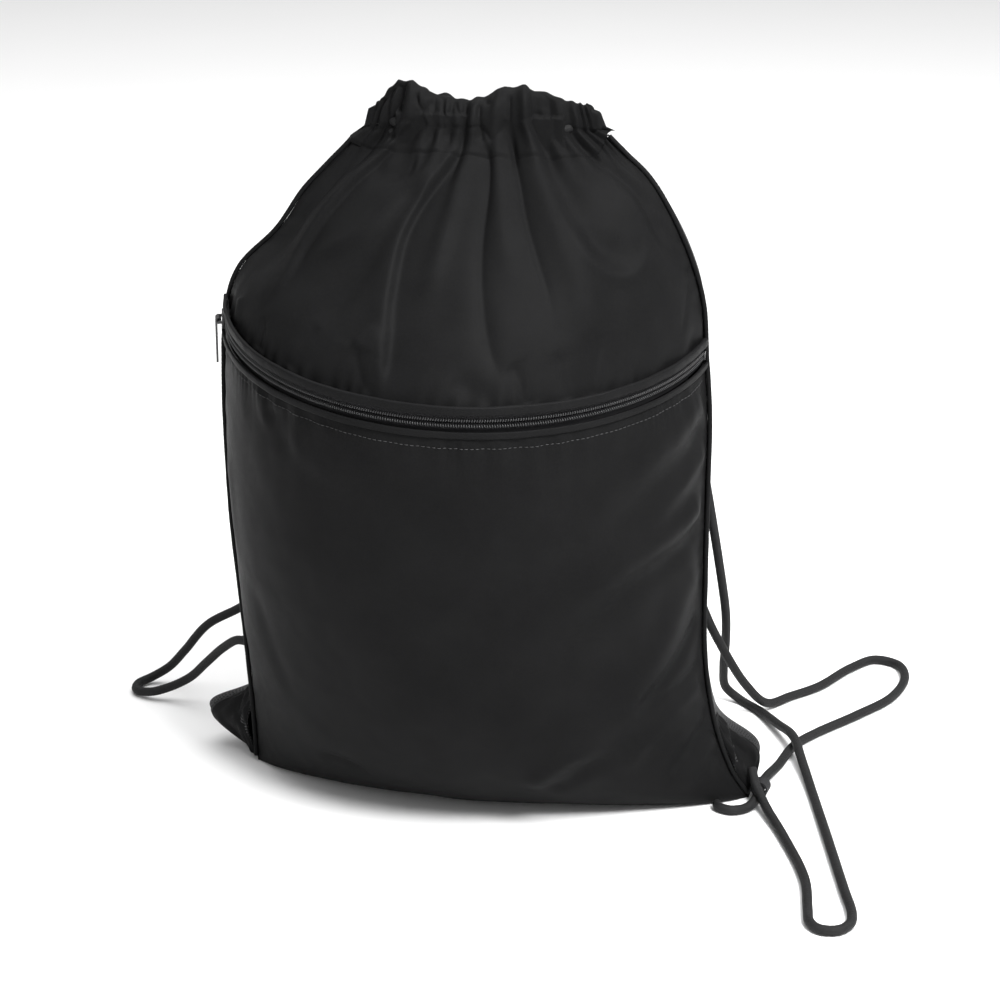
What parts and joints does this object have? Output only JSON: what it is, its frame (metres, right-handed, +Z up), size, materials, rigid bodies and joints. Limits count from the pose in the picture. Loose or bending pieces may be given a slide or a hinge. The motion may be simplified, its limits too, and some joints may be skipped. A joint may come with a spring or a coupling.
{
  "type": "drawstring backpack",
  "caption": "Stuffed drawstring backpack standing on its base: satin front with a zipped pocket, mesh back, gathered neck, and doubled round cords to loops at the bottom corners.",
  "frame": {"origin": "middle of the sack's footprint on the floor, without the cords", "axes": "+Z up to the neck; -Y is the pocket's side, the front; +X is the right of the front as seen from before it"},
  "size_m": [0.5261, 0.4035, 0.438],
  "materials": {
    "satin": "black polyester satin, soft sheen",
    "mesh": "black knitted mesh with small open holes",
    "cord": "black braided round polyester cord, matte",
    "webbing": "black woven tape",
    "zip_tape": "black herringbone zip tape",
    "zip_coil": "black nylon coil",
    "zip_metal": "black painted zinc, satin"
  },
  "bodies": {
    "sack": {"front_yoke": "satin", "pocket_panel": "satin", "pocket_backing": "satin", "back_mesh": "mesh", "corner_patch_left": "satin", "corner_patch_right": "satin", "channel_front": "satin", "channel_back": "satin", "piping_left": "satin", "piping_right": "satin", "bottom_binding": "webbing", "zip_welt": "satin", "pocket_hem": "satin", "zip_tape_upper": "zip_tape", "zip_tape_lower": "zip_tape", "zip_coil_upper": "zip_coil", "zip_coil_lower": "zip_coil", "top_stop_upper": "zip_metal", "top_stop_lower": "zip_metal", "bottom_stop": "zip_metal", "corner_loop_left": "webbing", "corner_loop_right": "webbing", "cord_right_run": "cord", "cord_right_a": "cord", "cord_right_b": "cord", "cord_left_run": "cord", "cord_left_a": "cord", "cord_left_b": "cord"},
    "slider": {"zip_slider": "zip_metal"},
    "pull": {"zip_pull": "zip_metal"}
  },
  "joints": [
    {"name": "zip_run", "type": "hinge", "parent": "sack", "child": "slider", "pos_m": [-0.0085, 0.04396, 0.3048], "axis": [0.0435, -0.1478, 0.9881], "range_deg": [0, 149]},
    {"name": "pull_swing", "type": "hinge", "parent": "slider", "child": "pull", "pos_m": [-0.15662, 0.00199, 0.30504], "axis": [-0.2691, 0.9507, 0.1541], "range_deg": [0, 140]}
  ]
}
